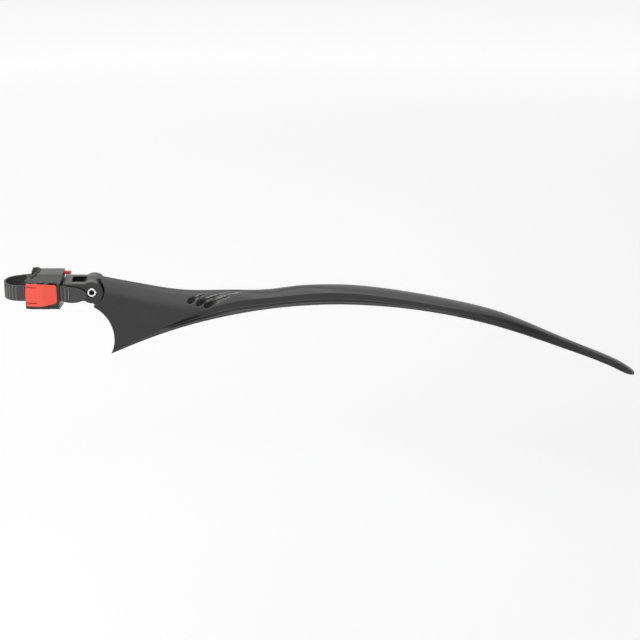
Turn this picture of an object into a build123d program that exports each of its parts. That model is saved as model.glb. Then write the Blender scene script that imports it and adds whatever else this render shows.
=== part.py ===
"""Clip-on rear mudguard: a moulded blade on a tilting fork arm, plugged into a seat-post ratchet clamp.

Millimetres. The origin is on the seat post's axis at the strap's middle, +X to the rear and +Z up.
"""
import math
import os

from build123d import *

# Seat post, pad and strap
post_radius = 15.8
pad_thickness = 2.2
pad_above = 1.0
pad_round = 1.0
pad_near_angle = -52
pad_far_angle = 58
pad_end_gap = 1
pad_grooves = 6
groove_margin = 10
groove_radius = 0.6
strap_width = 15.0
strap_thickness = 1.6
strap_tail_x = 63.0
strap_tail_drop = 2.0
strap_tip_length = 14.0
tooth_height = 0.9
tooth_root = 0.2
tooth_length = 1.7
tooth_pitch = 3.5
tooth_margin = 1.2
tooth_end_x = 47.0
loop_teeth = 5
strap_mark_x = 50.0
strap_mark_radius = 1.5

# Clamp housing
housing_front_x = 5.0
housing_far_front_x = 8.5
housing_back_x = 39.4
housing_end_radius = 110.0
housing_end_slant = 3.1
housing_bottom = -15.2
housing_top = 17.1
housing_flat_half = 8.0
housing_far_half = 18.9
housing_far_shoulder = 13.0
housing_round = 3.0
buckle_y = -20.5
buckle_shoulder = 10.2
cheek_ahead = 5.0
cheek_behind = 6.0
cheek_ramp = 7.0
cheek_front_depth = 2.0
knuckle_wall = 1.2
knuckle_rise = 1.3
keeper_length = 2.0
keeper_thickness = 1.4
anchor_x = 9.5
anchor_y = 22.5
anchor_pin_radius = 1.5
eye_wall = 1.7
lug_height = 3.0
lug_overlap = 1.0

# Release lever
lever_pivot_x = 20.2
lever_pivot_y = -18.3
trunnion_radius = 1.9
trunnion_neck = 2.2
trunnion_width = 2.2
lever_half_height = 10.9
lever_front_x = 5.5
lever_back_x = 35.1
lever_front_y = -22.0
lever_front_bow = 1.4
lever_middle_y = -24.1
lever_crease_x = 22.6
lever_bulge_y = -24.6
lever_back_y = -20.8
lever_end_half = 8.8
lever_wall = 1.8
lever_end_wall = 1.6
lever_round = 2.5
leg_height = 2.7
slit_width = 0.9
slit_length = 11.0
pawl_length = 1.0
pawl_inset = 1.2
pawl_root = 2.0
pawl_heel = 0.8
pawl_margin = 1.0

# Fork arm and pivot
pivot_x = 67.5
arm_half_width = 15.2
arm_half_height = 8.8
arm_round = 1.6
ear_radius = 10.6
window_half = 8.4
root_length = 7.6
tongue_length = 16.5
tongue_half_width = 11.5
tongue_half_height = 6.0
hub_half_width = 4.0
bolt_radius = 2.5
bolt_head_radius = 4.4
bolt_head_height = 5.0
bolt_head_chamfer = 0.5
bolt_socket = 4.0
bolt_socket_depth = 2.8
bolt_socket_mouth = 0.4
bolt_length = 25.0
bolt_end_chamfer = 0.6
washer_radius = 4.9
washer_thickness = 1.0
nut_across_flats = 8.0
nut_height = 4.6

# Release gate
gate_x = 30.0
gate_thickness = 2.4
gate_side = 1.8
gate_frame = 1.9
gate_travel = 2.0
notch_depth = 1.6
tab_half_width = 2.7
tab_thickness = 2.0
tab_top = 16.4
tab_reach = 7.3
tab_round = 1.2
spring_span = 19.0
spring_thickness = 0.4
cap_thickness = 1.0

# Blade
blade_length = 521.0
neck_length = 140.0
loft_front = -4.0
loft_end = 1.02
blade_wall = 2.2
cape_half_width = 25.5
middle_half_width = 21.0
tail_half_width = 13.0
cape_crown_half = 24.0
crown_half_width = 13.0
tail_crown_half = 5.0
cape_fullness = 0.9
crown_fullness = 0.36
flute_depth = 3.2
flute_least = 0.1
flute_share = 0.5
lip_height = 2.0
lip_out = 0.8
scoop_radius = 33.5
scoop_x = -12.6
scoop_z = -43.6
beak_x = 2.0
neck_front_x = 8.2
tail_round = 25.0
hub_web_length = 38.0
hub_web_x = 14.0
hub_web_z = -24.0
hub_web_front = -15.0
gill_depth = 2.8
gill_wall = 0.9
gill_pocket = 0.6
gill_width = 5.0
gill_tip = 1.2

# Where the blade's section changes: a distance behind the pivot, or a share of the way behind the neck
bell_start = 10.0
crown_narrow_start = 50.0
crown_narrow_end = 0.04
tail_crown_start = 0.52
tail_crown_end = 0.83
edge_narrow_start = 20.0
edge_narrow_end = 0.24
tail_narrow_start = 0.42
tail_narrow_end = 0.87
flute_start = 50.0
flute_full = 100.0
flute_fade_start = 0.5
flute_fade_end = 0.78

# Clearances
slide_gap = 0.3
pin_gap = 0.05
seat_gap = 0.05
post_gap = 0.5
turn_gap = 0.5
ear_gap = 1.4

# Places that follow from the sizes above
strap_half = strap_width / 2
strap_radius = post_radius + strap_thickness / 2
strap_outer = post_radius + strap_thickness
cradle_radius = post_radius + pad_thickness
channel_half = strap_half + slide_gap
channel_y = slide_gap - post_radius
keeper_y = -(strap_outer + tooth_height + slide_gap)
eye_radius = anchor_pin_radius + pin_gap + eye_wall
lug_top = channel_half + lug_height
keeper_x = lever_back_x + turn_gap
tip_x = strap_tail_x - strap_tip_length
bow_x = lever_front_x + lever_front_bow
lever_middle_x = (lever_front_x + lever_crease_x) / 2
pawl_x = lever_back_x - pawl_inset
pawl_tip_y = -(strap_outer + slide_gap)
trunnion_top = channel_half + slide_gap + trunnion_width
notch_half = trunnion_top + slide_gap
arm_front_x = housing_back_x + arm_half_height * math.tan(math.radians(housing_end_slant)) + slide_gap
tongue_front_x = housing_back_x - tongue_length
socket_half_width = tongue_half_width + slide_gap
socket_half_height = tongue_half_height + slide_gap
sill_top = notch_depth - tongue_half_height - slide_gap
gate_bottom = sill_top - gate_frame
gate_window_top = tongue_half_height + gate_travel + slide_gap
gate_frame_top = gate_window_top + gate_frame
gate_half_width = socket_half_width + gate_side
cap_top = housing_bottom + cap_thickness
bore_radius = bolt_radius + pin_gap
tall = 4 * housing_top
search_limit = 1e-10

os.makedirs("parts", exist_ok=True)


def smooth_step(value, start, end):
    """Rises from 0 at start to 1 at end with level ends."""
    share = min(max((value - start) / (end - start), 0.0), 1.0)
    return (1 - math.cos(math.pi * share)) / 2


def guide_height(guide, x):
    """The height of a side-view guide line at a distance x behind the pivot."""
    low, high = 0.0, 1.0
    while high - low > search_limit:
        middle = (low + high) / 2
        if guide.position_at(middle).X < x:
            low = middle
        else:
            high = middle
    return guide.position_at(low).Y


def behind_neck(share):
    """The distance behind the pivot at a share of the way from the neck to the blade's end."""
    return neck_length + share * (blade_length - neck_length)


# Side-view guide lines of the blade, as distance behind the pivot and height
with BuildLine() as spine_line:
    Spline((loft_front, 13.6), (20, 9.1), (54, 2.3), (82, -2.1), (neck_length, -2.7),
           (behind_neck(0.07), -3.1), (behind_neck(0.14), 0.9), (behind_neck(0.22), 1.5),
           (behind_neck(0.384), -4.3), (behind_neck(0.526), -14.2), (behind_neck(0.658), -26.8),
           (behind_neck(0.811), -50.9), (behind_neck(0.913), -67.2), (behind_neck(0.96), -75.5),
           (behind_neck(loft_end), -93.9))
with BuildLine() as shoulder_line:
    Spline((loft_front, -58.5), (63, -33.9), (107, -16.8), (neck_length, -8.4), (behind_neck(0.066), -5.8),
           (behind_neck(0.213), -0.8), (behind_neck(0.384), -5.8), (behind_neck(0.526), -15.6),
           (behind_neck(0.658), -27.8), (behind_neck(0.811), -51.2), (behind_neck(0.913), -67.5),
           (behind_neck(0.96), -75.8), (behind_neck(loft_end), -94.2))
with BuildLine() as edge_line:
    Spline((loft_front, -67.6), (18, -57.5), (74, -35.0), (neck_length, -18.2), (behind_neck(0.126), -11.7),
           (behind_neck(0.25), -9.7), (behind_neck(0.4), -13.2), (behind_neck(0.55), -23.2),
           (behind_neck(0.703), -40.9), (behind_neck(0.855), -63.0), (behind_neck(0.96), -80.3),
           (behind_neck(loft_end), -97.6))
spine_guide = spine_line.edge()
shoulder_guide = shoulder_line.edge()
edge_guide = edge_line.edge()


def crown_half(x):
    """Half the distance between the two shoulder creases."""
    front = smooth_step(x, crown_narrow_start, behind_neck(crown_narrow_end))
    back = smooth_step(x, behind_neck(tail_crown_start), behind_neck(tail_crown_end))
    width = cape_crown_half + (crown_half_width - cape_crown_half) * front
    return width + (tail_crown_half - crown_half_width) * back


def edge_half(x):
    """Half the width at the bottom edge."""
    front = smooth_step(x, edge_narrow_start, behind_neck(edge_narrow_end))
    back = smooth_step(x, behind_neck(tail_narrow_start), behind_neck(tail_narrow_end))
    width = cape_half_width + (middle_half_width - cape_half_width) * front
    return width + (tail_half_width - middle_half_width) * back


def flute(x):
    """How far the wall below the shoulder crease is hollowed."""
    rise = smooth_step(x, flute_start, flute_full)
    fade = smooth_step(x, behind_neck(flute_fade_start), behind_neck(flute_fade_end))
    return flute_least + (flute_depth - flute_least) * rise * (1 - fade)


def crown_points(x, half, drop=0.0, shoulder_drop=0.0):
    """Control points of the crown's arch at x: a square bell over the cape, a plain arch behind."""
    fullness = cape_fullness + (crown_fullness - cape_fullness) * smooth_step(x, bell_start, neck_length)
    top = guide_height(spine_guide, x) - drop
    shoulder = guide_height(shoulder_guide, x) - shoulder_drop
    peak = (4 * top - shoulder) / 3
    return (-half, shoulder), (-half * fullness, peak), (half * fullness, peak), (half, shoulder)


def blade_section(x):
    """The thin inverted channel of the blade at x: its crown, two hollow flutes and two lips."""
    half = crown_half(x)
    outer = crown_points(x, half)
    shoulder = outer[3][1]
    bottom = guide_height(edge_guide, x)
    edge_y = edge_half(x)
    root_y, root_z = edge_y - lip_out, bottom + lip_height
    crown_slope = math.atan2(outer[2][1] - shoulder, half - outer[2][0])
    wall_slope = math.atan2(shoulder - root_z, root_y - half)
    spread = blade_wall / (1 + math.cos(crown_slope - wall_slope))
    inner_half = max(half - spread * (math.sin(crown_slope) + math.sin(wall_slope)), tail_crown_half / 2)
    inner = crown_points(x, inner_half, blade_wall, spread * (math.cos(crown_slope) + math.cos(wall_slope)))
    inner_shoulder = inner[3][1]
    inner_edge = root_y - blade_wall * math.sin(wall_slope)
    hollow_y, hollow_z = -flute(x) * math.sin(wall_slope), -flute(x) * math.cos(wall_slope)
    outer_hollow = (half + flute_share * (root_y - half) + hollow_y,
                    shoulder + flute_share * (root_z - shoulder) + hollow_z)
    inner_hollow = (inner_half + flute_share * (inner_edge - inner_half) + hollow_y,
                    inner_shoulder + flute_share * (bottom - inner_shoulder) + hollow_z)
    with BuildSketch(Plane((pivot_x + x, 0, 0), x_dir=(0, 1, 0), z_dir=(1, 0, 0))) as section:
        with BuildLine():
            Bezier(*outer)
            Bezier(*inner)
            for side in (1, -1):
                Polyline((side * half, shoulder), (side * outer_hollow[0], outer_hollow[1]),
                         (side * root_y, root_z), (side * edge_y, root_z - lip_out), (side * edge_y, bottom),
                         (side * inner_edge, bottom), (side * inner_hollow[0], inner_hollow[1]),
                         (side * inner_half, inner_shoulder))
        make_face()
    return section.sketch


def skin_point(x, y):
    """A point of the blade's outer skin, x behind the pivot and y from the middle plane."""
    with BuildLine() as arch:
        Bezier(*crown_points(x, crown_half(x)))
    return Vector(pivot_x + x, y, guide_height(arch.edge(), y))


def gill_floor(start, end):
    """A plane along a gill's floor, which starts below the skin and comes out at the gill's rear end."""
    along = skin_point(start[0] + 1, start[1]) - skin_point(start[0] - 1, start[1])
    across = skin_point(start[0], start[1] + 1) - skin_point(start[0], start[1] - 1)
    outward = along.cross(across).normalized()
    origin = skin_point(*start) - outward * gill_depth
    return Plane(origin, x_dir=skin_point(*end) - origin, z_dir=outward)


# Blade with its cape, neck, hub tongue and gills
shares = [0, 0.07, 0.14, 0.22, 0.36, 0.52, 0.66, 0.8, 0.9, 0.96, loft_end]
stations = [loft_front, 12, 34, 60, 86, 112] + [behind_neck(share) for share in shares]
gills = [((90.5, 14.0), (108.0, 5.5)), ((98.5, 15.2), (125.0, 5.6)), ((106.0, 16.2), (140.0, 4.6))]
with BuildPart() as blade:
    loft([blade_section(station) for station in stations])
    with BuildSketch(Plane.XZ):
        with Locations((pivot_x, 0)):
            Circle(ear_radius + ear_gap)
        with Locations((pivot_x + beak_x, 0)):
            Rectangle(neck_length, 2 * neck_length, align=(Align.MAX, Align.CENTER))
        with Locations((pivot_x + scoop_x, scoop_z)):
            Circle(scoop_radius)
        with Locations((pivot_x + neck_front_x, 0)):
            Rectangle(neck_length, neck_length, align=(Align.MAX, Align.MIN))
    extrude(amount=2 * cape_half_width, both=True, mode=Mode.SUBTRACT)
    with BuildSketch(Plane.XY):
        with Locations((pivot_x + blade_length - tail_round, 0)):
            Rectangle(4 * tail_round, 4 * tail_half_width, align=(Align.MIN, Align.CENTER))
            Ellipse(tail_round, tail_half_width + blade_wall / 2, mode=Mode.SUBTRACT)
    extrude(amount=2 * blade_length, both=True, mode=Mode.SUBTRACT)
    with BuildSketch(Plane.XZ):
        with Locations((pivot_x, 0)):
            Circle(ear_radius)
        with BuildLine():
            Polyline((pivot_x, ear_radius),
                     (pivot_x + neck_front_x, guide_height(spine_guide, neck_front_x) - blade_wall / 2),
                     (pivot_x + hub_web_length, guide_height(spine_guide, hub_web_length) - blade_wall / 2),
                     (pivot_x + hub_web_x, hub_web_z), (pivot_x, hub_web_front), (pivot_x, ear_radius))
        make_face()
    extrude(amount=hub_half_width, both=True)
    with BuildSketch(Plane.XZ):
        with Locations((pivot_x, 0)):
            Circle(bore_radius)
    extrude(amount=arm_half_width, both=True, mode=Mode.SUBTRACT)
    for front, rear in gills:
        for side in (-1, 1):
            start = (front[0], side * front[1])
            end = (rear[0], side * rear[1])
            length = (skin_point(*end) - skin_point(*start)).length
            floor = gill_floor(start, end)
            with BuildSketch(Plane(floor.origin, x_dir=floor.x_dir, z_dir=-floor.y_dir)):
                with BuildLine():
                    Polyline((-gill_wall, -gill_wall), (-gill_wall, gill_depth - blade_wall / 2),
                             (gill_pocket * length, 0), (gill_pocket * length, -gill_wall), close=True)
                make_face()
            extrude(amount=gill_width / 2 + gill_wall, both=True)
            with BuildSketch(floor):
                with BuildLine():
                    ThreePointArc((gill_width / 2, gill_width / 2), (0, 0), (gill_width / 2, -gill_width / 2))
                    Polyline((gill_width / 2, -gill_width / 2), (length, -gill_tip / 2),
                             (length, gill_tip / 2), (gill_width / 2, gill_width / 2))
                make_face()
            extrude(amount=2 * gill_depth, mode=Mode.SUBTRACT)
blade.part.label = "blade"
export_step(blade.part, "parts/blade.step")

# Fork arm: root, two prongs with round ears, and the tongue that plugs into the housing
with BuildPart() as fork_arm:
    with BuildSketch(Plane.XY):
        with Locations((arm_front_x, 0)):
            Rectangle(pivot_x - arm_front_x, 2 * arm_half_width, align=(Align.MIN, Align.CENTER))
        with Locations((arm_front_x + root_length, 0)):
            Rectangle(pivot_x, 2 * window_half, align=(Align.MIN, Align.CENTER), mode=Mode.SUBTRACT)
    extrude(amount=arm_half_height, both=True)
    fillet(fork_arm.edges().filter_by(Axis.X).group_by(SortBy.LENGTH)[-1], arm_round)
    with BuildSketch(Plane.XZ):
        with Locations((pivot_x, 0)):
            Circle(ear_radius)
    extrude(amount=arm_half_width, both=True)
    with BuildSketch(Plane.XZ):
        with Locations((pivot_x, 0)):
            Circle(ear_radius + turn_gap)
    extrude(amount=hub_half_width + slide_gap, both=True, mode=Mode.SUBTRACT)
    with BuildSketch(Plane.YZ.offset(tongue_front_x)):
        Rectangle(2 * tongue_half_width, 2 * tongue_half_height)
    extrude(amount=tongue_length + root_length)
    with BuildSketch(Plane.XZ):
        with Locations((gate_x, -tongue_half_height)):
            Rectangle(gate_thickness + 2 * slide_gap, notch_depth, align=(Align.CENTER, Align.MIN))
    extrude(amount=arm_half_width, both=True, mode=Mode.SUBTRACT)
    with BuildSketch(Plane.XZ):
        with Locations((pivot_x, 0)):
            Circle(bore_radius)
    extrude(amount=arm_half_width, both=True, mode=Mode.SUBTRACT)
    with BuildSketch(Plane.XZ.offset(arm_half_width)):
        with Locations((pivot_x, 0)):
            Circle(washer_radius + slide_gap)
    extrude(amount=-bolt_head_height - washer_thickness, mode=Mode.SUBTRACT)
    with BuildSketch(Plane.XZ.offset(-arm_half_width)):
        with Locations((pivot_x, 0)):
            RegularPolygon(nut_across_flats / 2 + seat_gap, 6, major_radius=False)
    extrude(amount=nut_height, mode=Mode.SUBTRACT)
fork_arm.part.label = "fork_arm"
export_step(fork_arm.part, "parts/fork_arm.step")

# Pivot screw with its hexagon socket
with BuildPart() as pivot_bolt:
    with BuildSketch(Plane.XZ.offset(arm_half_width)):
        with Locations((pivot_x, 0)):
            Circle(bolt_head_radius)
    extrude(amount=-bolt_head_height)
    chamfer(pivot_bolt.faces().sort_by(Axis.Y)[0].edges(), bolt_head_chamfer)
    with BuildSketch(Plane.XZ.offset(arm_half_width - bolt_head_height)):
        with Locations((pivot_x, 0)):
            Circle(bolt_radius)
    extrude(amount=-bolt_length)
    chamfer(pivot_bolt.faces().sort_by(Axis.Y)[-1].edges(), bolt_end_chamfer)
    with BuildSketch(Plane.XZ.offset(arm_half_width)):
        with Locations((pivot_x, 0)):
            RegularPolygon(bolt_socket / 2, 6, major_radius=False)
    extrude(amount=-bolt_socket_depth, mode=Mode.SUBTRACT)
    with BuildSketch(Plane.XZ.offset(arm_half_width)):
        with Locations((pivot_x, 0)):
            Circle(bolt_socket / math.sqrt(3) + bolt_socket_mouth)
    extrude(amount=-2 * bolt_socket_mouth, taper=45, mode=Mode.SUBTRACT)
pivot_bolt.part.label = "pivot_bolt"
export_step(pivot_bolt.part, "parts/pivot_bolt.step")

# Washer under the screw's head
with BuildPart() as bolt_washer:
    with BuildSketch(Plane.XZ.offset(arm_half_width - bolt_head_height)):
        with Locations((pivot_x, 0)):
            Circle(washer_radius)
            Circle(bore_radius, mode=Mode.SUBTRACT)
    extrude(amount=-washer_thickness)
bolt_washer.part.label = "bolt_washer"
export_step(bolt_washer.part, "parts/bolt_washer.step")

# Nut in the far ear
with BuildPart() as pivot_nut:
    with BuildSketch(Plane.XZ.offset(-arm_half_width)):
        with Locations((pivot_x, 0)):
            RegularPolygon(nut_across_flats / 2, 6, major_radius=False)
            Circle(bore_radius, mode=Mode.SUBTRACT)
    extrude(amount=nut_height)
pivot_nut.part.label = "pivot_nut"
export_step(pivot_nut.part, "parts/pivot_nut.step")


def pad_sector(inner, outer, widen=0.0):
    """The pad's ring sector in plan."""
    near, far = pad_near_angle - widen, pad_far_angle + widen
    with BuildSketch() as sector:
        with BuildLine():
            inside = CenterArc((0, 0), inner, near, far - near)
            outside = CenterArc((0, 0), outer, near, far - near)
            Line(inside @ 0, outside @ 0)
            Line(inside @ 1, outside @ 1)
        make_face()
    return sector.sketch


def housing_outline(x, rise=0.0):
    """The housing seen from behind, on a plane at x, with its roof raised by a rise."""
    with BuildSketch(Plane.YZ.offset(x)) as outline:
        with BuildLine():
            Polyline((housing_far_half, housing_bottom), (housing_far_half, housing_far_shoulder + rise),
                     (housing_flat_half, housing_top + rise), (-housing_flat_half, housing_top + rise),
                     (buckle_y, buckle_shoulder + rise), (buckle_y, housing_bottom), close=True)
        make_face()
    return outline.sketch


# Rubber pad between the housing and the seat post
with BuildPart() as saddle_pad:
    with BuildSketch(Plane.XY.offset(housing_bottom)):
        add(pad_sector(post_radius, cradle_radius - seat_gap))
    extrude(amount=tall)
    extrude(housing_outline(0, pad_above), amount=housing_back_x, mode=Mode.INTERSECT)
    fillet(saddle_pad.faces().sort_by(Axis.Z)[-1].edges().filter_by(GeomType.CIRCLE), pad_round)
    with BuildSketch(Plane.XY.offset(housing_bottom)):
        with PolarLocations(post_radius, pad_grooves, pad_near_angle + groove_margin,
                            pad_far_angle - pad_near_angle - 2 * groove_margin, endpoint=True):
            Circle(groove_radius)
    extrude(amount=tall, mode=Mode.SUBTRACT)
saddle_pad.part.label = "saddle_pad"
export_step(saddle_pad.part, "parts/saddle_pad.step")

# Clamp housing
with BuildPart() as clamp_housing:
    extrude(housing_outline(housing_front_x), amount=2 * housing_back_x)
    fillet(clamp_housing.edges().filter_by(Axis.X).group_by(Axis.Z)[-1], 2 * housing_round)
    fillet(clamp_housing.edges().filter_by(Axis.X).group_by(Axis.Z)[0], housing_round / 2)
    with BuildSketch(Plane.XY.rotated((0, housing_end_slant, 0))):
        with Locations((housing_back_x - housing_end_radius, 0)):
            Circle(housing_end_radius)
    extrude(amount=tall, both=True, mode=Mode.INTERSECT)
    with BuildSketch(Plane.XY.offset(-tall / 2)):
        Rectangle(housing_far_front_x, tall, align=Align.MIN)
    extrude(amount=tall, mode=Mode.SUBTRACT)
    with BuildSketch(Plane.XY.offset(-tall / 2)):
        Circle(post_radius + post_gap)
        add(pad_sector(post_radius, cradle_radius, widen=pad_end_gap))
    extrude(amount=tall, mode=Mode.SUBTRACT)
    with BuildSketch(Plane.YZ):
        with Locations((channel_y, 0)):
            Rectangle(strap_outer, 2 * channel_half, align=(Align.MAX, Align.CENTER))
    extrude(amount=2 * housing_back_x, mode=Mode.SUBTRACT)
    with BuildSketch(Plane.XY.offset(-tall / 2)):
        with BuildLine():
            Polyline((keeper_x, 2 * buckle_y), (keeper_x, keeper_y),
                     (lever_back_x - cheek_ramp, keeper_y), (lever_pivot_x + cheek_behind, buckle_y),
                     (lever_pivot_x - cheek_ahead, buckle_y),
                     (housing_front_x, channel_y - cheek_front_depth), (housing_front_x, 2 * buckle_y),
                     close=True)
        make_face()
    extrude(amount=tall, mode=Mode.SUBTRACT)
    with BuildSketch(Plane.XY.offset(notch_half)):
        with Locations((lever_pivot_x, lever_pivot_y)):
            Circle(trunnion_radius + knuckle_wall)
    extrude(amount=knuckle_rise)
    with BuildSketch(Plane.XY.offset(-notch_half)):
        with Locations((lever_pivot_x, lever_pivot_y)):
            Circle(trunnion_radius + pin_gap)
            Rectangle(2 * (trunnion_radius + pin_gap), tall, align=(Align.CENTER, Align.MAX))
    extrude(amount=2 * notch_half, mode=Mode.SUBTRACT)
    with BuildSketch(Plane.XY.offset(-channel_half)):
        with Locations((keeper_x, keeper_y)):
            Rectangle(keeper_length, keeper_thickness, align=(Align.MIN, Align.MAX))
    extrude(amount=2 * channel_half)
    with BuildSketch(Plane.YZ.offset(tongue_front_x - slide_gap)):
        Rectangle(2 * socket_half_width, 2 * socket_half_height)
    extrude(amount=2 * housing_back_x, mode=Mode.SUBTRACT)
    with BuildSketch(Plane.YZ.offset(gate_x - gate_thickness / 2 - slide_gap)):
        with Locations((0, 2 * housing_bottom)):
            Rectangle(2 * (gate_half_width + slide_gap), gate_frame_top + slide_gap - 2 * housing_bottom,
                      align=(Align.CENTER, Align.MIN))
        with Locations((0, tab_top + slide_gap)):
            Rectangle(2 * (tab_half_width + slide_gap), tab_top, align=(Align.CENTER, Align.MAX))
    extrude(amount=gate_thickness + 2 * slide_gap, mode=Mode.SUBTRACT)
    with BuildSketch(Plane.YZ.offset(gate_x)):
        with Locations((0, tab_top + slide_gap)):
            Rectangle(2 * (tab_half_width + slide_gap), tab_thickness + gate_travel + 2 * slide_gap,
                      align=(Align.CENTER, Align.MAX))
    extrude(amount=housing_back_x, mode=Mode.SUBTRACT)
    for base in (channel_half, -lug_top):
        with BuildSketch(Plane.XY.offset(base)):
            with Locations((anchor_x, anchor_y)):
                Circle(eye_radius)
                Rectangle(2 * eye_radius, anchor_y - housing_far_half + lug_overlap,
                          align=(Align.CENTER, Align.MAX))
        extrude(amount=lug_height)
    with BuildSketch(Plane.XY.offset(-tall / 2)):
        with Locations((anchor_x, anchor_y)):
            Circle(anchor_pin_radius + seat_gap)
    extrude(amount=tall, mode=Mode.SUBTRACT)
clamp_housing.part.label = "clamp_housing"
export_step(clamp_housing.part, "parts/clamp_housing.step")

# Pin of the strap's eye
with BuildPart() as strap_pin:
    with BuildSketch(Plane.XY.offset(-lug_top)):
        with Locations((anchor_x, anchor_y)):
            Circle(anchor_pin_radius)
    extrude(amount=2 * lug_top)
strap_pin.part.label = "strap_pin"
export_step(strap_pin.part, "parts/strap_pin.step")

# Ratchet strap: tail beside the arm, loop round the post, eye at the far side
anchor_distance = math.hypot(anchor_x, anchor_y)
leave_angle = math.degrees(math.atan2(anchor_y, anchor_x) + math.acos(strap_radius / anchor_distance))
tooth_angle = math.degrees(tooth_pitch / strap_outer)
tooth_outline = [(-tooth_length / 2, tooth_root), (-tooth_length / 2, 0), (-tooth_length / 3, -tooth_height),
                 (tooth_length / 2, 0), (tooth_length / 2, tooth_root)]
teeth_ahead = int((pawl_x - tooth_pitch / 2) / tooth_pitch)
teeth_behind = int((tooth_end_x - pawl_x) / tooth_pitch + 0.5)
with BuildPart() as ratchet_strap:
    with BuildSketch(Plane.XY.offset(-strap_half)):
        with BuildLine():
            Line((arm_front_x, -strap_radius), (0, -strap_radius))
            loop = CenterArc((0, 0), strap_radius, leave_angle, 270 - leave_angle)
            Line(loop @ 0, (anchor_x, anchor_y))
        trace(line_width=strap_thickness)
        with Locations((anchor_x, anchor_y)):
            Circle(eye_radius)
    extrude(amount=strap_width)
    with BuildSketch(Plane.XY.offset(-strap_half)):
        with Locations((anchor_x, anchor_y)):
            Circle(anchor_pin_radius + pin_gap)
    extrude(amount=strap_width, mode=Mode.SUBTRACT)
    with BuildSketch(Plane.XZ.offset(post_radius)):
        with BuildLine():
            Polyline((tip_x, strap_half - strap_tail_drop), (arm_front_x, strap_half),
                     (arm_front_x, -strap_half), (tip_x, -strap_half - strap_tail_drop), close=True)
        make_face()
        with Locations((tip_x, -strap_tail_drop)):
            Ellipse(strap_tip_length, strap_half)
    extrude(amount=strap_thickness)
    with BuildSketch(Plane.XY.offset(tooth_margin - strap_half)):
        for count in range(-teeth_ahead, teeth_behind):
            with Locations((pawl_x + (count + 0.5) * tooth_pitch, -strap_outer)):
                Polygon(*tooth_outline, align=None)
        for count in range(1, loop_teeth + 1):
            angle = 270 - count * tooth_angle
            place = (strap_outer * math.cos(math.radians(angle)), strap_outer * math.sin(math.radians(angle)))
            with Locations(Location(place, angle + 90)):
                Polygon(*tooth_outline, align=None)
    extrude(amount=strap_width - 2 * tooth_margin)
    with BuildSketch(Plane.XZ.offset(strap_outer)):
        with Locations((strap_mark_x, -strap_tail_drop)):
            Circle(strap_mark_radius)
    extrude(amount=-strap_thickness / 3, mode=Mode.SUBTRACT)
ratchet_strap.part.label = "ratchet_strap"
export_step(ratchet_strap.part, "parts/ratchet_strap.step")

# Release lever with its spring legs, trunnions and pawl
with BuildPart() as release_lever:
    with BuildSketch(Plane.XY.offset(-lever_half_height)):
        with BuildLine():
            outside = ThreePointArc((lever_front_x, lever_front_y), (lever_middle_x, lever_middle_y),
                                    (lever_crease_x, lever_bulge_y))
            inside = ThreePointArc((lever_front_x, lever_front_y + lever_wall),
                                   (lever_middle_x, lever_middle_y + lever_wall),
                                   (lever_crease_x, lever_bulge_y + lever_wall))
            Line(outside @ 0, inside @ 0)
            Polyline(outside @ 1, (lever_back_x, lever_back_y), (lever_back_x, lever_back_y + lever_end_wall),
                     inside @ 1)
        make_face()
    extrude(amount=2 * lever_half_height)
    with BuildSketch(Plane.XZ):
        with BuildLine():
            Polyline((bow_x, lever_half_height), (lever_pivot_x, lever_half_height),
                     (lever_back_x, lever_end_half), (lever_back_x, -lever_end_half),
                     (lever_pivot_x, -lever_half_height), (bow_x, -lever_half_height))
            ThreePointArc((bow_x, -lever_half_height), (lever_front_x, 0), (bow_x, lever_half_height))
        make_face()
    extrude(amount=-2 * buckle_y, both=True, mode=Mode.INTERSECT)
    fillet(release_lever.edges().filter_by(Axis.Y).group_by(Axis.X)[-1], lever_round)
    with BuildSketch(Plane.XZ):
        for side in (-1, 1):
            with Locations((lever_front_x, side * (lever_half_height - leg_height - slit_width / 2))):
                Rectangle(slit_length, slit_width, align=(Align.MIN, Align.CENTER))
    extrude(amount=-2 * buckle_y, both=True, mode=Mode.SUBTRACT)
    for base in (channel_half + slide_gap, -trunnion_top):
        with BuildSketch(Plane.XY.offset(base)):
            with Locations((lever_pivot_x, lever_pivot_y)):
                Circle(trunnion_radius)
                Rectangle(trunnion_neck, lever_pivot_y - lever_bulge_y - lever_wall / 2,
                          align=(Align.CENTER, Align.MAX))
        extrude(amount=trunnion_width)
    with BuildSketch(Plane.XY.offset(pawl_margin - lever_end_half)):
        with BuildLine():
            Polyline((pawl_x - pawl_root, lever_back_y), (pawl_x - pawl_length / 2, pawl_tip_y),
                     (pawl_x + pawl_length / 2, pawl_tip_y), (pawl_x + pawl_heel, lever_back_y), close=True)
        make_face()
    extrude(amount=2 * (lever_end_half - pawl_margin))
release_lever.part.label = "release_lever"
export_step(release_lever.part, "parts/release_lever.step")

# Release gate: a frame round the arm's tongue, with the red tab on its stem
with BuildPart() as release_gate:
    with BuildSketch(Plane.YZ.offset(gate_x - gate_thickness / 2)):
        with Locations((0, gate_bottom)):
            Rectangle(2 * gate_half_width, gate_frame_top - gate_bottom, align=(Align.CENTER, Align.MIN))
            Rectangle(2 * tab_half_width, tab_top - gate_bottom, align=(Align.CENTER, Align.MIN))
        with Locations((0, sill_top)):
            Rectangle(2 * socket_half_width, gate_window_top - sill_top, align=(Align.CENTER, Align.MIN),
                      mode=Mode.SUBTRACT)
    extrude(amount=gate_thickness)
    with BuildSketch(Plane.XY.offset(tab_top - tab_thickness)):
        with Locations((gate_x, 0)):
            Rectangle(housing_back_x + tab_reach - gate_x, 2 * tab_half_width,
                      align=(Align.MIN, Align.CENTER))
    extrude(amount=tab_thickness)
    fillet(release_gate.edges().filter_by(Axis.Z).group_by(Axis.X)[-1], tab_round)
release_gate.part.label = "release_gate"
export_step(release_gate.part, "parts/release_gate.step")

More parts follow.
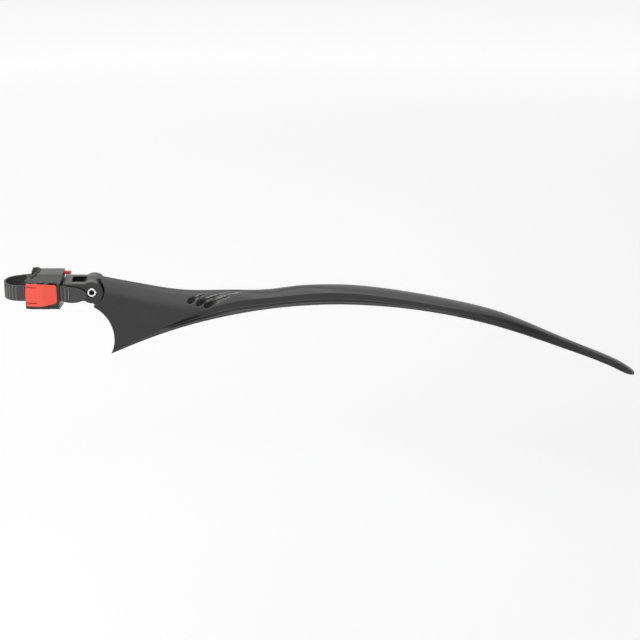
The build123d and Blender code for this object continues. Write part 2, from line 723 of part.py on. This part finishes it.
# Cap that closes the gate's shaft and carries the spring
with BuildPart() as spring_cap:
    with BuildSketch(Plane.XY.offset(housing_bottom)):
        with Locations((gate_x, 0)):
            Rectangle(gate_thickness + 2 * (slide_gap - seat_gap),
                      2 * (gate_half_width + slide_gap - seat_gap))
    extrude(amount=cap_thickness)
spring_cap.part.label = "spring_cap"
export_step(spring_cap.part, "parts/spring_cap.step")

# Bow spring under the gate
with BuildPart() as gate_spring:
    with BuildSketch(Plane.YZ.offset(gate_x - gate_thickness / 2)):
        with BuildLine():
            ThreePointArc((-spring_span / 2, cap_top + spring_thickness),
                          (0, gate_bottom - spring_thickness / 2),
                          (spring_span / 2, cap_top + spring_thickness))
        trace(line_width=spring_thickness)
    extrude(amount=gate_thickness)
gate_spring.part.label = "gate_spring"
export_step(gate_spring.part, "parts/gate_spring.step")
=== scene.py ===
"""Studio scene of the clip-on mudguard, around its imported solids."""

import math

import bpy
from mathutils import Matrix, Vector


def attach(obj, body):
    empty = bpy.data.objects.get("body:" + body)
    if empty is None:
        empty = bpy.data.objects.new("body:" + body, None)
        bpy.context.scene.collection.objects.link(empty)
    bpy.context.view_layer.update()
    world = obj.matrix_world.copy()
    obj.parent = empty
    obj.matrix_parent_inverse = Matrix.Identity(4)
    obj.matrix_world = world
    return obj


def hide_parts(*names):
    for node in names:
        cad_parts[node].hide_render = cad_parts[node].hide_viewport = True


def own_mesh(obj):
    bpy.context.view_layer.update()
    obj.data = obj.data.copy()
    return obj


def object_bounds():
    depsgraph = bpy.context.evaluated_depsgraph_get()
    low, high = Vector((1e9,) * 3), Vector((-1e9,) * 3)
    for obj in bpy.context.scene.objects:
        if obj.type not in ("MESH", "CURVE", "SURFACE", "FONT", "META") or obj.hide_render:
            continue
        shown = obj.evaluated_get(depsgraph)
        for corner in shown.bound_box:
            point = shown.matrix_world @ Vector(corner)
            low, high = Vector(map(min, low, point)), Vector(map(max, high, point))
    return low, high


WHITE = (1.0, 1.0, 1.0, 1.0)

# Camera: places in metres, lens and sensor in millimetres
CAMERA_TARGET = Vector((0.2838, 0.0, -0.0327))
CAMERA_DISTANCE = 1.810
CAMERA_ELEVATION = math.radians(19.5)
CAMERA_LENS = 106.0
SENSOR_WIDTH = 36.0

# Floor: how far it lies below the object and its half width, in metres, and its look
FLOOR_DROP = 0.30
FLOOR_HALF = 30.0
FLOOR_COLOUR = (0.8, 0.8, 0.8, 1.0)
FLOOR_SPECULAR = 0.1
FLOOR_ROUGHNESS = 0.9

# Floor's glow: its strength below the object and far off, and the distances in metres between which it grows
FLOOR_GLOW = 0.165
FAR_GLOW = 0.64
GLOW_START = 0.6
GLOW_END = 3.0

# World: strength of its light, of its backdrop before and behind the object, and of the ceiling above that
SKY_LIGHT = 0.3
SKY_FRONT = 1.0
SKY_BACK = 0.7
SKY_DIM = 0.26

# Where front turns to back, where the backdrop fades and drops at its sides, as parts of a unit direction
SKY_TURN = 0.3
BACKDROP_TOP = math.sin(math.radians(24))
BACKDROP_FADE = math.sin(math.radians(40))
BACKDROP_SIDE = (0.32, 0.5)
BACKDROP_DROP = 0.26

# Noise: features for each metre, octaves of detail, scale along each axis, and the span of values that counts
MOTTLE = {"scale": 38.0, "detail": 5.0}
MARKS = {"scale": 90.0, "detail": 6.0, "stretch": (0.15, 1.0, 1.0)}
SPECKLE = {"scale": 700.0, "detail": 2.0}
TARNISH = {"scale": 260.0, "detail": 5.0}
STEEL_LINES = {"scale": 900.0, "detail": 2.0, "stretch": (1.0, 0.1, 1.0)}
GRAIN_DETAIL = 3.0
NOISE_LOW = 0.3
NOISE_HIGH = 0.7

# Bumps: height in metres and strength
MOTTLE_BUMP = (0.0002, 0.06)
STEEL_BUMP = (0.00002, 0.25)
GRAIN_STRENGTH = 0.35

# Softened edges: radius in metres, and the number of rays that find an edge
MOULDED_EDGE = 0.0005
BLADE_EDGE = 0.0012
STEEL_EDGE = 0.00015
EDGE_SAMPLES = 8

# Wear and painted highlight along edges: cosine between soft and true normal where it is full and where it
# ends, and its least and most share
EDGE_WEAR_AND_HIGHLIGHT = (0.93, 0.992)
WEAR_AND_HIGHLIGHT_PATCHES = (0.5, 1.0)

# Upward part of the normal where the painted shade on faces turned down fades and where dust and painted
# sheen gather, and the least and most share of that dust and sheen
UNDERSIDE_SHADE_SLOPE = (-0.1, 0.25)
DUST_AND_SHEEN_SLOPE = (0.85, 0.99)
DUST_AND_SHEEN_PATCHES = (0.6, 1.0)

# Change of roughness along the marks and lines, and the share of steel's colour that tarnish leaves
MOULDED_SPREAD = (-0.05, 0.07)
STEEL_SPREAD = (-0.06, 0.1)
TARNISH_SHADE = 0.8

# Mix node: the places of its first value, second value and result for each kind of data
COLOUR = "RGBA"
NUMBER = "FLOAT"
MIX_SOCKETS = {COLOUR: (6, 7, 2), NUMBER: (2, 3, 0)}

# Directions that count in a distance from an axis along Y or along Z
ROUND_Y = (1.0, 0.0, 1.0)
ROUND_Z = (1.0, 1.0, 0.0)

# Socket of the pivot screw in metres, then the colour and roughness of the painted shade inside it
BOLT_CENTRE = (0.0675, 0.0, 0.0)
SOCKET_MOUTH = 0.0027
SOCKET_FADE = 0.0002
SOCKET_SHADE_COLOUR = (0.05, 0.05, 0.05)
SOCKET_SHADE_ROUGHNESS = 0.75

# Ratchet teeth, in metres from the post's axis, and the painted highlight on their crests; the limit leaves X
# out behind it, where the strap is straight
STRAP_OUTSIDE = 0.0176
TOOTH_CREST = 0.0182
CREST_HIGHLIGHT_COLOUR = (0.20, 0.20, 0.195)
CREST_LIMIT = (0.0, 1.0, 1.0)

# Gills on one side: front and rear end in plan, in metres, and the share of the length that is deep
GILLS = [((0.1580, 0.0132), (0.1755, 0.0047), 0.38), ((0.1660, 0.0144), (0.1925, 0.0048), 0.32),
         ((0.1735, 0.0154), (0.2075, 0.0038), 0.26)]

# A gill's half width at its front in metres, the share of that lost at its rear, and its look: the painted
# shade in its deep front, the speckled painted highlight on its rising floor, and the roughness of the shade
GILL_HALF = 0.0027
GILL_TAPER = 0.72
GILL_SHADE = (0.011, 0.011, 0.011)
GILL_SPECKLED_HIGHLIGHT = (0.03, 0.03, 0.03), (0.22, 0.22, 0.215)
GILL_SHADE_ROUGHNESS = 0.9

# Soft borders of a gill: the start of its edge as a share of the half width, the rest as shares of its length
GILL_RIM = 0.88
GILL_NOSE = 0.03
GILL_BLEND = 0.08
GILL_RISE = 0.14

# Painted shade in hollows: how far to look in metres, number of rays, and the openness where the shade is
# full and where it ends
HOLLOW_REACH = 0.006
HOLLOW_SAMPLES = 16
HOLLOW_SHADE = (0.2, 0.5)

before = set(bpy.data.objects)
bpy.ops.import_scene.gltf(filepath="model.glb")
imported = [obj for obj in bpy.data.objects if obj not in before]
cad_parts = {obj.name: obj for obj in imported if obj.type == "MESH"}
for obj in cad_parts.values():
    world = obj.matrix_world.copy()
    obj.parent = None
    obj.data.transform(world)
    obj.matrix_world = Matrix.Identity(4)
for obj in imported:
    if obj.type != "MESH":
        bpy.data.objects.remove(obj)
cad_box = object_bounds()


def feed(tree, target, value):
    """Links an input to a socket, or sets it to a plain value."""
    if isinstance(value, bpy.types.NodeSocket):
        tree.links.new(value, target)
    else:
        target.default_value = value


def node(tree, kind, **values):
    """Adds a shader node; values feed its inputs and set its own settings by name."""
    made = tree.nodes.new(kind)
    for name, value in values.items():
        if name in made.inputs:
            feed(tree, made.inputs[name], value)
        else:
            setattr(made, name, value)
    return made


def place(tree, kind="Object"):
    """The shaded point in the object's own space, or another output of the texture coordinates."""
    return node(tree, "ShaderNodeTexCoord").outputs[kind]


def axes(tree, vector):
    """The X, Y and Z of a vector."""
    split = node(tree, "ShaderNodeSeparateXYZ", Vector=vector)
    return split.outputs["X"], split.outputs["Y"], split.outputs["Z"]


def number_step(tree, operation, *values):
    """One step of arithmetic on numbers."""
    made = node(tree, "ShaderNodeMath", operation=operation)
    for target, value in zip(made.inputs, values):
        feed(tree, target, value)
    return made.outputs["Value"]


def vector_step(tree, operation, *vectors, result="Vector"):
    """One step of arithmetic on vectors, whose result is a vector or, with Value, a number."""
    made = node(tree, "ShaderNodeVectorMath", operation=operation)
    for target, vector in zip(made.inputs, vectors):
        feed(tree, target, vector)
    return made.outputs[result]


def product(tree, first, second):
    return number_step(tree, "MULTIPLY", first, second)


def larger(tree, first, second):
    """The larger of two numbers, or the second where there is no first."""
    return second if first is None else number_step(tree, "MAXIMUM", first, second)


def remap(tree, value, low, high, start=NOISE_LOW, end=NOISE_HIGH):
    """Goes from low to high while a value goes from start to end, and stays level outside."""
    made = node(tree, "ShaderNodeMapRange", Value=value)
    for name, limit in (("From Min", start), ("From Max", end), ("To Min", low), ("To Max", high)):
        made.inputs[name].default_value = limit
    return made.outputs["Result"]


def blend(tree, kind, share, first, second):
    """Goes from the first colour or number to the second by a share; each is a socket or a plain value."""
    *targets, result = MIX_SOCKETS[kind]
    made = node(tree, "ShaderNodeMix", data_type=kind)
    feed(tree, made.inputs[0], share)
    for target, value in zip(targets, (first, second)):
        feed(tree, made.inputs[target], (*value, 1.0) if isinstance(value, tuple) else value)
    return made.outputs[result]


def noise(tree, scale, detail, stretch=(1.0, 1.0, 1.0)):
    """Noise over the object's own space, whose features grow long on an axis with a stretch below 1."""
    mapping = node(tree, "ShaderNodeMapping", Vector=place(tree), Scale=stretch)
    made = node(tree, "ShaderNodeTexNoise", Vector=mapping.outputs["Vector"], Scale=scale, Detail=detail)
    return made.outputs["Fac"]


def two_tone(tree, value, first, second):
    """Goes from the first colour to the second over the span of a noise that counts."""
    ramp = node(tree, "ShaderNodeValToRGB", Fac=value)
    for stop, position, colour in zip(ramp.color_ramp.elements, (NOISE_LOW, NOISE_HIGH), (first, second)):
        stop.position = position
        stop.color = (*colour, 1.0)
    return ramp.outputs["Color"]


def distance_from_axis(tree, point, centre, keep):
    """How far a point lies from an axis through a centre; keep is 1 along the directions that count."""
    offset = vector_step(tree, "SUBTRACT", point, centre)
    return vector_step(tree, "LENGTH", vector_step(tree, "MULTIPLY", offset, keep), result="Value")


def soft_normal(tree, radius):
    """The surface's normal, rounded over at its edges."""
    return node(tree, "ShaderNodeBevel", Radius=radius, samples=EDGE_SAMPLES).outputs["Normal"]


def edge_share(tree, rounded):
    """1 along edges and 0 on open surfaces, by how far the rounded normal leaves the true one."""
    surface = node(tree, "ShaderNodeNewGeometry").outputs["Normal"]
    likeness = vector_step(tree, "DOT_PRODUCT", rounded, surface, result="Value")
    return remap(tree, likeness, 1.0, 0.0, *EDGE_WEAR_AND_HIGHLIGHT)


def bump(tree, normal, heights):
    """Stacks bump nodes on a normal; heights is a list of (value, distance in metres, strength)."""
    for value, distance, strength in heights:
        made = node(tree, "ShaderNodeBump", Strength=strength, Distance=distance, Height=value, Normal=normal)
        normal = made.outputs["Normal"]
    return normal


def shown_rays(tree):
    """1 for the rays that show a surface to the camera, straight or by reflection, and 0 for the rest."""
    paths = node(tree, "ShaderNodeLightPath")
    total = None
    for name in ("Is Camera Ray", "Is Glossy Ray", "Is Transmission Ray"):
        total = larger(tree, total, paths.outputs[name])
    return total


def plain_material(name, metallic, specular):
    """A new principled material, with its tree and shader."""
    material = bpy.data.materials.new(name)
    material.use_nodes = True
    tree = material.node_tree
    shader = tree.nodes["Principled BSDF"]
    shader.inputs["Metallic"].default_value = metallic
    shader.inputs["Specular IOR Level"].default_value = specular
    return material, tree, shader


def finish_surface(tree, shader, colour, roughness, normal):
    """Feeds a shader the three inputs that vary over a surface."""
    for name, value in (("Base Color", colour), ("Roughness", roughness), ("Normal", normal)):
        feed(tree, shader.inputs[name], value)


def moulded(name, dark, light, roughness, grain, grain_depth, specular=0.5, underside_shade=1.0, dust_and_sheen=None,
            wear_and_highlight=None, soft_edge=MOULDED_EDGE):
    """Moulded plastic or rubber: fine grain, mottling, handling marks and painted shade on faces turned down.

    Flat tops get dust and painted sheen, and edges get wear and painted highlight, where a colour is given
    for that.
    """
    material, tree, shader = plain_material(name, metallic=0.0, specular=specular)
    mottle = noise(tree, **MOTTLE)
    fine = noise(tree, scale=grain, detail=GRAIN_DETAIL)
    marks = noise(tree, **MARKS)
    _, _, upward = axes(tree, place(tree, "Normal"))
    below = tuple(underside_shade * channel for channel in dark)
    above = two_tone(tree, mottle, dark, light)
    # Faces turned down get painted shade.
    colour = blend(tree, COLOUR, remap(tree, upward, 0.0, 1.0, *UNDERSIDE_SHADE_SLOPE), below, above)
    # Flat tops get dust and painted sheen.
    if dust_and_sheen:
        level = remap(tree, upward, 0.0, 1.0, *DUST_AND_SHEEN_SLOPE)
        colour = blend(tree, COLOUR, product(tree, level, remap(tree, mottle, *DUST_AND_SHEEN_PATCHES)), colour, dust_and_sheen)
    rounded = soft_normal(tree, soft_edge)
    # Edges get wear and painted highlight.
    if wear_and_highlight:
        worn_and_lit = product(tree, edge_share(tree, rounded), remap(tree, marks, *WEAR_AND_HIGHLIGHT_PATCHES))
        colour = blend(tree, COLOUR, worn_and_lit, colour, wear_and_highlight)
    handled = remap(tree, marks, *(roughness + change for change in MOULDED_SPREAD))
    normal = bump(tree, rounded, [(mottle, *MOTTLE_BUMP), (fine, grain_depth, GRAIN_STRENGTH)])
    finish_surface(tree, shader, colour, handled, normal)
    return material


def plated_steel(name, base, roughness):
    """Plated steel with fine lines along Y and a little tarnish."""
    material, tree, shader = plain_material(name, metallic=1.0, specular=0.5)
    tarnish = noise(tree, **TARNISH)
    lines = noise(tree, **STEEL_LINES)
    colour = two_tone(tree, tarnish, tuple(TARNISH_SHADE * channel for channel in base), base)
    drawn = remap(tree, lines, *(roughness + change for change in STEEL_SPREAD))
    normal = bump(tree, soft_normal(tree, STEEL_EDGE), [(lines, *STEEL_BUMP)])
    finish_surface(tree, shader, colour, drawn, normal)
    return material


def paint_over(material, share, colour, roughness=None):
    """Turns a material's colour, and its roughness if one is given, to another by a share."""
    tree = material.node_tree
    shader = tree.nodes["Principled BSDF"]
    changes = [("Base Color", COLOUR, colour)]
    if roughness is not None:
        changes.append(("Roughness", NUMBER, roughness))
    for name, kind, value in changes:
        before = shader.inputs[name].links[0].from_socket
        feed(tree, shader.inputs[name], blend(tree, kind, share, before, value))


def paint_socket_shade(material):
    """Paints black, dull shade into the screw's socket."""
    tree = material.node_tree
    reach = distance_from_axis(tree, place(tree), BOLT_CENTRE, ROUND_Y)
    share = remap(tree, reach, 1.0, 0.0, SOCKET_MOUTH - SOCKET_FADE, SOCKET_MOUTH)
    paint_over(material, share, SOCKET_SHADE_COLOUR, SOCKET_SHADE_ROUGHNESS)


def paint_crest_highlights(material):
    """Paints a highlight on the strap's ratchet teeth, where it stands proud of its smooth outside."""
    tree = material.node_tree
    beside = vector_step(tree, "MINIMUM", place(tree), CREST_LIMIT)
    reach = distance_from_axis(tree, beside, (0.0, 0.0, 0.0), ROUND_Z)
    paint_over(material, remap(tree, reach, 0.0, 1.0, STRAP_OUTSIDE, TOOTH_CREST), CREST_HIGHLIGHT_COLOUR)


def gill_shares(tree):
    """Where the gills' deep fronts and their rising floors lie, which take painted shade and painted
    highlight: two sockets, 1 there and 0 elsewhere.
    """
    mirrored = vector_step(tree, "ABSOLUTE", place(tree))
    all_deep = None
    all_rising = None
    for front, rear, deep_share in GILLS:
        run = Vector(rear) - Vector(front)
        laid = node(tree, "ShaderNodeMapping", vector_type="TEXTURE", Vector=mirrored, Location=(*front, 0.0),
                    Rotation=(0.0, 0.0, math.atan2(run.y, run.x)), Scale=(run.length, GILL_HALF, 1.0))
        along, across, _ = axes(tree, laid.outputs["Vector"])
        width = number_step(tree, "MULTIPLY_ADD", along, GILL_TAPER, number_step(tree, "ABSOLUTE", across))
        inside = remap(tree, width, 1.0, 0.0, GILL_RIM, 1.0)
        bow = product(tree, across, across)
        nose = number_step(tree, "MULTIPLY_ADD", bow, -GILL_HALF / run.length, along)
        started = remap(tree, nose, 0.0, 1.0, 0.0, GILL_NOSE)
        deep = remap(tree, along, 1.0, 0.0, deep_share - GILL_BLEND, deep_share + GILL_BLEND)
        rising = remap(tree, along, 0.0, 1.0, deep_share, deep_share + GILL_RISE)
        all_deep = larger(tree, all_deep, product(tree, product(tree, inside, deep), started))
        all_rising = larger(tree, all_rising, product(tree, inside, rising))
    return all_deep, all_rising


def paint_gill_shade_and_highlight(material):
    """Paints a speckled highlight on the gills' rising floors, then paints black, dull shade into their deep
    fronts and into every hollow of the material that light hardly reaches.
    """
    tree = material.node_tree
    deep, rising = gill_shares(tree)
    hollow = node(tree, "ShaderNodeAmbientOcclusion", Distance=HOLLOW_REACH, samples=HOLLOW_SAMPLES,
                  only_local=True)
    shade = larger(tree, deep, remap(tree, hollow.outputs["AO"], 1.0, 0.0, *HOLLOW_SHADE))
    paint_over(material, rising, two_tone(tree, noise(tree, **SPECKLE), *GILL_SPECKLED_HIGHLIGHT))
    paint_over(material, shade, GILL_SHADE, GILL_SHADE_ROUGHNESS)


def softbox(name, location, aim, size, power, reflected=True):
    """A rectangular lamp at a location, turned to its aim, and shown in reflections or not."""
    lamp = bpy.data.lights.new(name, "AREA")
    lamp.shape = "RECTANGLE"
    lamp.size, lamp.size_y = size
    lamp.energy = power
    holder = bpy.data.objects.new(name, lamp)
    holder.location = location
    holder.rotation_mode = "QUATERNION"
    holder.rotation_quaternion = (Vector(aim) - Vector(location)).to_track_quat("-Z", "Y")
    holder.visible_glossy = reflected
    bpy.context.scene.collection.objects.link(holder)


# Materials
# Below, the darkening of faces turned down is painted shade, the dust colour paints dust and sheen, and the
# wear colours paint wear and highlight along edges
blade_plastic = moulded(
    "blade_plastic", dark=(0.011, 0.011, 0.011), light=(0.016, 0.016, 0.016), roughness=0.32,
    grain=1800.0, grain_depth=0.00003, specular=0.55, underside_shade=0.4, wear_and_highlight=(0.075, 0.075, 0.073),
    soft_edge=BLADE_EDGE)
clamp_plastic = moulded(
    "clamp_plastic", dark=(0.014, 0.014, 0.0135), light=(0.021, 0.021, 0.020), roughness=0.26,
    grain=1500.0, grain_depth=0.00005, underside_shade=0.6, dust_and_sheen=(0.085, 0.085, 0.081), wear_and_highlight=(0.085, 0.085, 0.081))
strap_plastic = moulded(
    "strap_plastic", dark=(0.038, 0.038, 0.038), light=(0.050, 0.050, 0.050), roughness=0.40,
    grain=1500.0, grain_depth=0.00003, wear_and_highlight=(0.12, 0.12, 0.118))
pad_rubber = moulded(
    "pad_rubber", dark=(0.042, 0.042, 0.041), light=(0.058, 0.058, 0.056), roughness=0.6,
    grain=1200.0, grain_depth=0.00006, specular=0.3)
lever_red = moulded(
    "lever_red", dark=(0.91, 0.094, 0.056), light=(0.96, 0.108, 0.066), roughness=0.36,
    grain=1400.0, grain_depth=0.00002)
gate_red = moulded(
    "gate_red", dark=(0.40, 0.010, 0.016), light=(0.47, 0.013, 0.021), roughness=0.38,
    grain=1400.0, grain_depth=0.00002, specular=0.3)
steel = plated_steel("steel", base=(0.74, 0.74, 0.75), roughness=0.28)
bolt_steel = plated_steel("bolt_steel", base=(0.82, 0.82, 0.83), roughness=0.24)
# Painted shade in the screw's socket, painted highlight on the strap's tooth crests, and painted highlight
# and shade in the blade's gills and hollows
paint_socket_shade(bolt_steel)
paint_crest_highlights(strap_plastic)
paint_gill_shade_and_highlight(blade_plastic)

LOOKS = {
    "blade": blade_plastic,
    "fork_arm": clamp_plastic,
    "clamp_housing": clamp_plastic,
    "spring_cap": clamp_plastic,
    "ratchet_strap": strap_plastic,
    "saddle_pad": pad_rubber,
    "release_lever": lever_red,
    "release_gate": gate_red,
    "gate_spring": steel,
    "strap_pin": steel,
    "pivot_bolt": bolt_steel,
    "bolt_washer": steel,
    "pivot_nut": steel,
}

for name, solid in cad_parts.items():
    solid.data.materials.clear()
    solid.data.materials.append(LOOKS[name])

# Bow spring under the gate, held on the clamp with a mesh of its own; the real one flattens as the gate is
# pressed
bow_spring = bpy.data.objects.new("bow_spring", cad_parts["gate_spring"].data.copy())
bpy.context.scene.collection.objects.link(bow_spring)
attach(bow_spring, "clamp")
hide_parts("gate_spring")
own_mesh(bow_spring)

# Floor
floor_z = cad_box[0].z - FLOOR_DROP
corners = [(x * FLOOR_HALF, y * FLOOR_HALF, floor_z) for x, y in ((-1, -1), (1, -1), (1, 1), (-1, 1))]
floor_mesh = bpy.data.meshes.new("floor")
floor_mesh.from_pydata(corners, [], [(0, 1, 2, 3)])
floor = bpy.data.objects.new("floor", floor_mesh)
bpy.context.scene.collection.objects.link(floor)
floor_look, floor_tree, floor_shader = plain_material("floor_look", metallic=0.0, specular=FLOOR_SPECULAR)
floor_shader.inputs["Base Color"].default_value = FLOOR_COLOUR
floor_shader.inputs["Roughness"].default_value = FLOOR_ROUGHNESS
floor_shader.inputs["Emission Color"].default_value = WHITE
floor_mesh.materials.append(floor_look)

# The floor glows to the camera and in reflections only, least below the object, so that it keeps the shadow
floor_reach = distance_from_axis(floor_tree, place(floor_tree), CAMERA_TARGET, ROUND_Z)
glow = remap(floor_tree, floor_reach, FLOOR_GLOW, FAR_GLOW, GLOW_START, GLOW_END)
feed(floor_tree, floor_shader.inputs["Emission Strength"], product(floor_tree, glow, shown_rays(floor_tree)))

# World: in reflections a white backdrop, lower at its sides, under a dim ceiling, and an even soft light
world = bpy.data.worlds.new("studio")
world.use_nodes = True
bpy.context.scene.world = world
sky = world.node_tree
background = sky.nodes["Background"]
background.inputs["Color"].default_value = WHITE
sideways, backward, upward = axes(sky, place(sky, "Generated"))
drop = remap(sky, number_step(sky, "ABSOLUTE", sideways), 0.0, BACKDROP_DROP, *BACKDROP_SIDE)
fade = remap(sky, number_step(sky, "ADD", upward, drop), 0.0, 1.0, BACKDROP_TOP, BACKDROP_FADE)
white = remap(sky, backward, SKY_FRONT, SKY_BACK, -SKY_TURN, SKY_TURN)
backdrop = blend(sky, NUMBER, fade, white, SKY_DIM)
feed(sky, background.inputs["Strength"], blend(sky, NUMBER, shown_rays(sky), SKY_LIGHT, backdrop))

# Lamps: sizes and places in metres, power in watts
softbox("top_light", location=(0.06, 0.0, 1.35), aim=(0.06, 0.0, 0.0), size=(2.0, 3.2), power=33.0)
softbox("front_light", location=(-1.2, -2.0, 1.1), aim=(0.25, 0.0, 0.0), size=(1.4, 1.0), power=25.0,
        reflected=False)

# Camera
camera_data = bpy.data.cameras.new("camera")
camera_data.lens = CAMERA_LENS
camera_data.sensor_width = SENSOR_WIDTH
camera = bpy.data.objects.new("camera", camera_data)
back = Vector((0.0, -math.cos(CAMERA_ELEVATION), math.sin(CAMERA_ELEVATION)))
camera.location = CAMERA_TARGET + CAMERA_DISTANCE * back
camera.rotation_mode = "QUATERNION"
camera.rotation_quaternion = (-back).to_track_quat("-Z", "Y")
bpy.context.scene.collection.objects.link(camera)
bpy.context.scene.camera = camera
bpy.context.scene.view_settings.view_transform = "Standard"
